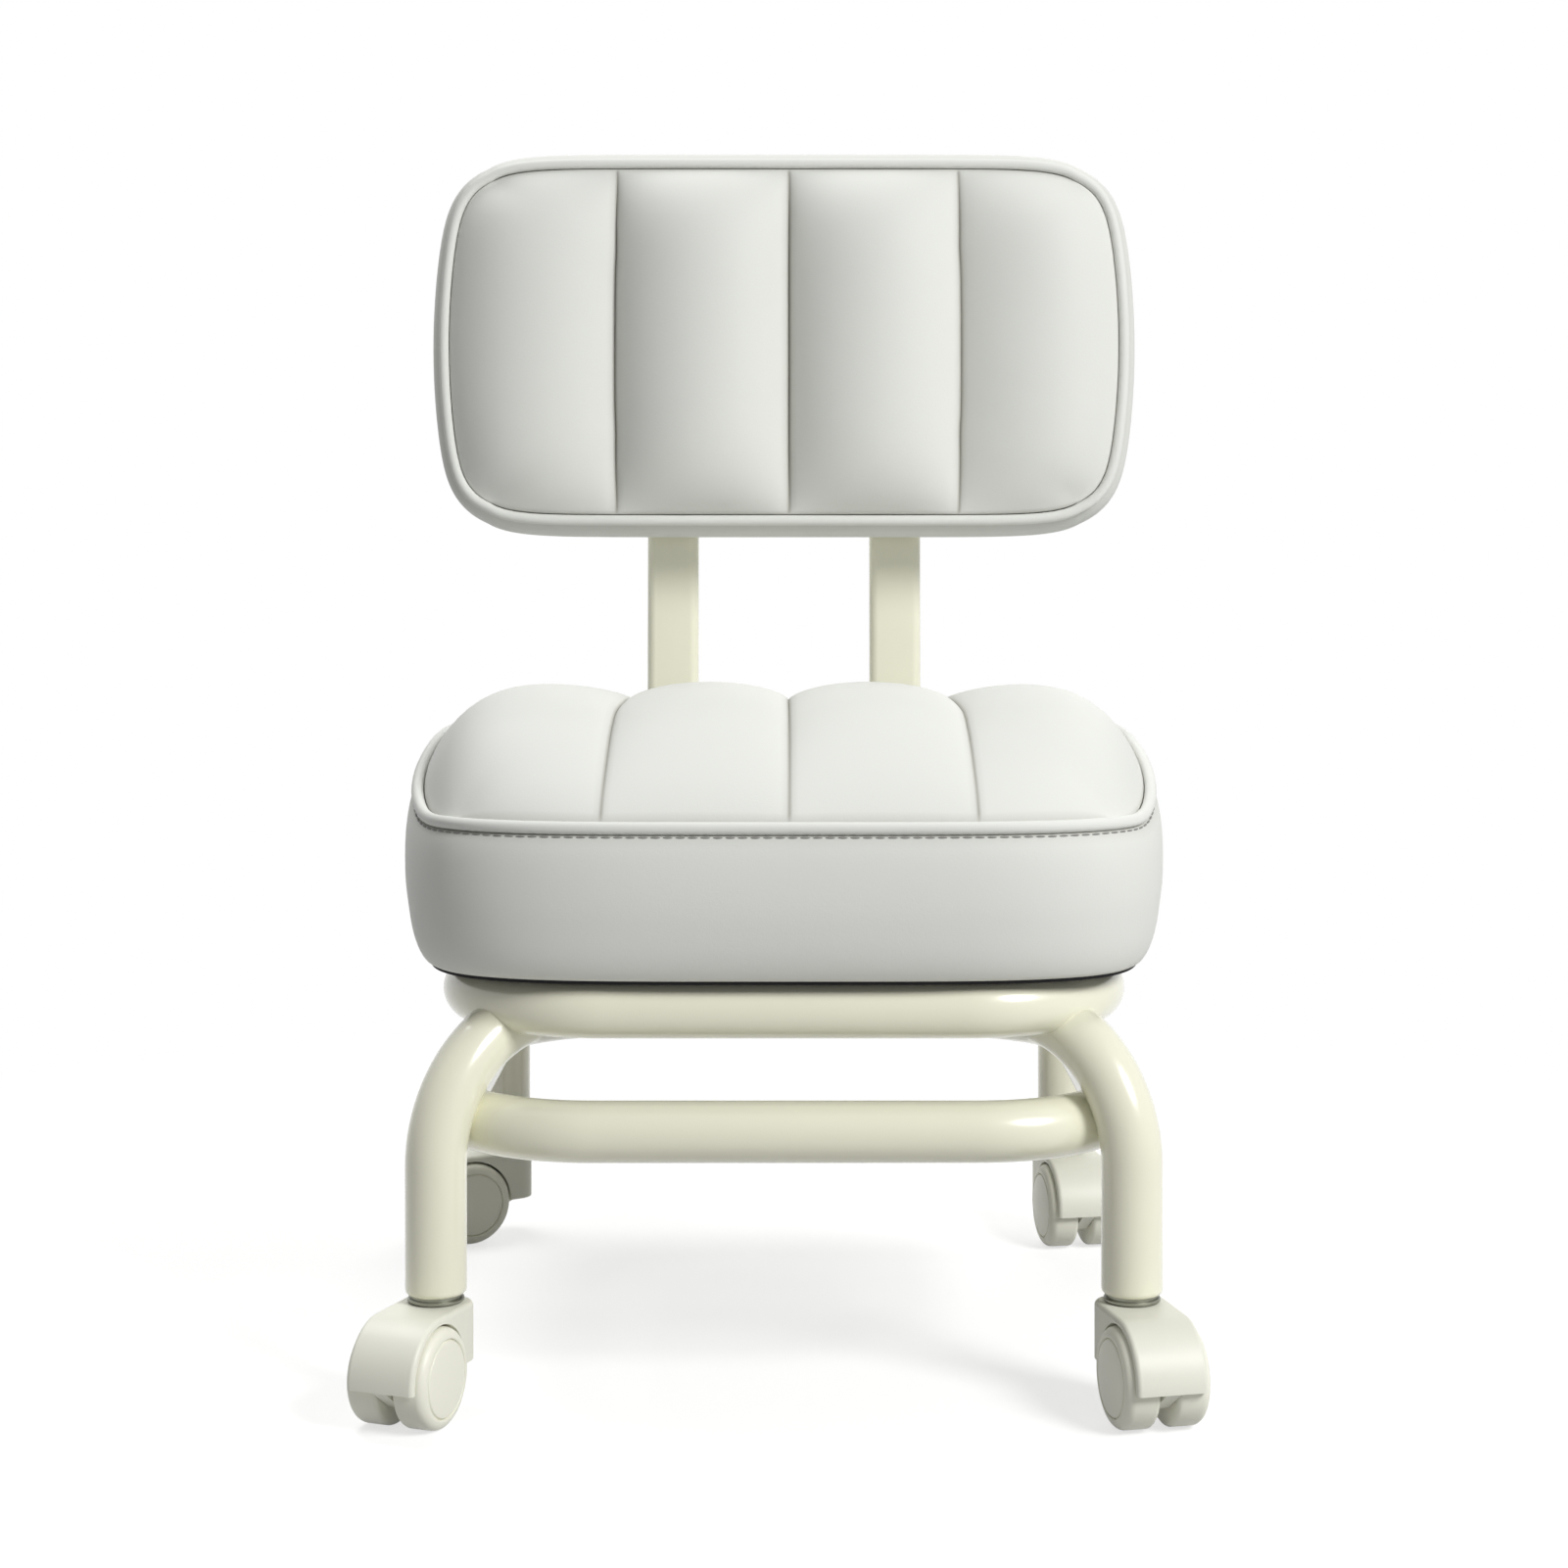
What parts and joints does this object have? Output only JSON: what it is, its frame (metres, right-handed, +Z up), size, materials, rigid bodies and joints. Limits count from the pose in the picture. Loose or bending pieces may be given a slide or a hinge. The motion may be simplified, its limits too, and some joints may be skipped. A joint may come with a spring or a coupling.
{
  "type": "rolling stool",
  "caption": "Low rolling stool with a channelled crowned seat, a small channelled backrest on flat posts, a bent-tube frame and hooded twin-wheel casters.",
  "frame": {"origin": "on the floor below the middle of the four legs", "axes": "+Z up, the front of the seat faces -Y, +X to the right seen from the front"},
  "size_m": [0.3631, 0.3665, 0.5421],
  "materials": {
    "frame_tube": "glossy ivory powder coat on bent steel tube",
    "seat_leather": "pale warm-grey coated leather, satin, over foam",
    "back_leather": "pale warm-grey coated leather, satin, over foam",
    "piping": "covered cord in the same pale coated leather",
    "rear_cover": "flat rear panel in the same coated leather",
    "plywood": "plain birch plywood, hidden in the upholstery",
    "fasteners": "zinc-plated steel",
    "plastic_plug": "ivory polyethylene",
    "collar_steel": "dark turned steel",
    "caster_hood": "ivory moulded plastic, satin gloss",
    "axle_steel": "bright steel pin",
    "wheel": "off-white moulded plastic tread",
    "wheel_cap": "off-white moulded plastic cap"
  },
  "bodies": {
    "frame": {"back_board": "plywood", "back_cover": "rear_cover", "back_cushion": "back_leather", "back_piping": "piping", "back_post_left": "frame_tube", "back_post_right": "frame_tube", "back_screws": "fasteners", "back_tee_nuts": "fasteners", "caster_socket_front_left": "plastic_plug", "caster_socket_front_right": "plastic_plug", "caster_socket_rear_left": "plastic_plug", "caster_socket_rear_right": "plastic_plug", "caster_stem_front_left": "collar_steel", "caster_stem_front_right": "collar_steel", "caster_stem_rear_left": "collar_steel", "caster_stem_rear_right": "collar_steel", "footrest_ring": "frame_tube", "leg_front_left": "frame_tube", "leg_front_right": "frame_tube", "leg_rear_left": "frame_tube", "leg_rear_right": "frame_tube", "post_caps": "plastic_plug", "seat_board": "plywood", "seat_cushion": "seat_leather", "seat_piping": "piping", "seat_ring": "frame_tube", "seat_screws": "fasteners", "seat_strap_front": "frame_tube", "seat_strap_rear": "frame_tube", "seat_tee_nuts": "fasteners"},
    "caster_front_left": {"caster_hood_front_left": "caster_hood", "caster_axle_front_left": "axle_steel"},
    "wheel_front_left_a": {"caster_wheel_front_left_a": "wheel", "wheel_cap_front_left_a": "wheel_cap"},
    "wheel_front_left_b": {"caster_wheel_front_left_b": "wheel", "wheel_cap_front_left_b": "wheel_cap"},
    "caster_front_right": {"caster_hood_front_right": "caster_hood", "caster_axle_front_right": "axle_steel"},
    "wheel_front_right_a": {"caster_wheel_front_right_a": "wheel", "wheel_cap_front_right_a": "wheel_cap"},
    "wheel_front_right_b": {"caster_wheel_front_right_b": "wheel", "wheel_cap_front_right_b": "wheel_cap"},
    "caster_rear_left": {"caster_hood_rear_left": "caster_hood", "caster_axle_rear_left": "axle_steel"},
    "wheel_rear_left_a": {"caster_wheel_rear_left_a": "wheel", "wheel_cap_rear_left_a": "wheel_cap"},
    "wheel_rear_left_b": {"caster_wheel_rear_left_b": "wheel", "wheel_cap_rear_left_b": "wheel_cap"},
    "caster_rear_right": {"caster_hood_rear_right": "caster_hood", "caster_axle_rear_right": "axle_steel"},
    "wheel_rear_right_a": {"caster_wheel_rear_right_a": "wheel", "wheel_cap_rear_right_a": "wheel_cap"},
    "wheel_rear_right_b": {"caster_wheel_rear_right_b": "wheel", "wheel_cap_rear_right_b": "wheel_cap"}
  },
  "joints": [
    {"name": "swivel_front_left", "type": "hinge", "parent": "frame", "child": "caster_front_left", "pos_m": [-0.141, -0.141, 0.0434], "axis": [0, 0, 1], "continuous": true},
    {"name": "roll_front_left_a", "type": "hinge", "parent": "caster_front_left", "child": "wheel_front_left_a", "pos_m": [-0.1496, -0.16341, 0.02], "axis": [0.9336, -0.3584, 0], "continuous": true},
    {"name": "roll_front_left_b", "type": "hinge", "parent": "caster_front_left", "child": "wheel_front_left_b", "pos_m": [-0.1496, -0.16341, 0.02], "axis": [0.9336, -0.3584, 0], "continuous": true},
    {"name": "swivel_front_right", "type": "hinge", "parent": "frame", "child": "caster_front_right", "pos_m": [0.141, -0.141, 0.0434], "axis": [0, 0, 1], "continuous": true},
    {"name": "roll_front_right_a", "type": "hinge", "parent": "caster_front_right", "child": "wheel_front_right_a", "pos_m": [0.1464, -0.16439, 0.02], "axis": [0.9744, 0.225, 0], "continuous": true},
    {"name": "roll_front_right_b", "type": "hinge", "parent": "caster_front_right", "child": "wheel_front_right_b", "pos_m": [0.1464, -0.16439, 0.02], "axis": [0.9744, 0.225, 0], "continuous": true},
    {"name": "swivel_rear_left", "type": "hinge", "parent": "frame", "child": "caster_rear_left", "pos_m": [-0.141, 0.141, 0.0434], "axis": [0, 0, 1], "continuous": true},
    {"name": "roll_rear_left_a", "type": "hinge", "parent": "caster_rear_left", "child": "wheel_rear_left_a", "pos_m": [-0.16219, 0.12973, 0.02], "axis": [0.4695, -0.8829, 0], "continuous": true},
    {"name": "roll_rear_left_b", "type": "hinge", "parent": "caster_rear_left", "child": "wheel_rear_left_b", "pos_m": [-0.16219, 0.12973, 0.02], "axis": [0.4695, -0.8829, 0], "continuous": true},
    {"name": "swivel_rear_right", "type": "hinge", "parent": "frame", "child": "caster_rear_right", "pos_m": [0.141, 0.141, 0.0434], "axis": [0, 0, 1], "continuous": true},
    {"name": "roll_rear_right_a", "type": "hinge", "parent": "caster_rear_right", "child": "wheel_rear_right_a", "pos_m": [0.14517, 0.11736, 0.02], "axis": [0.9848, 0.1736, 0], "continuous": true},
    {"name": "roll_rear_right_b", "type": "hinge", "parent": "caster_rear_right", "child": "wheel_rear_right_b", "pos_m": [0.14517, 0.11736, 0.02], "axis": [0.9848, 0.1736, 0], "continuous": true}
  ]
}
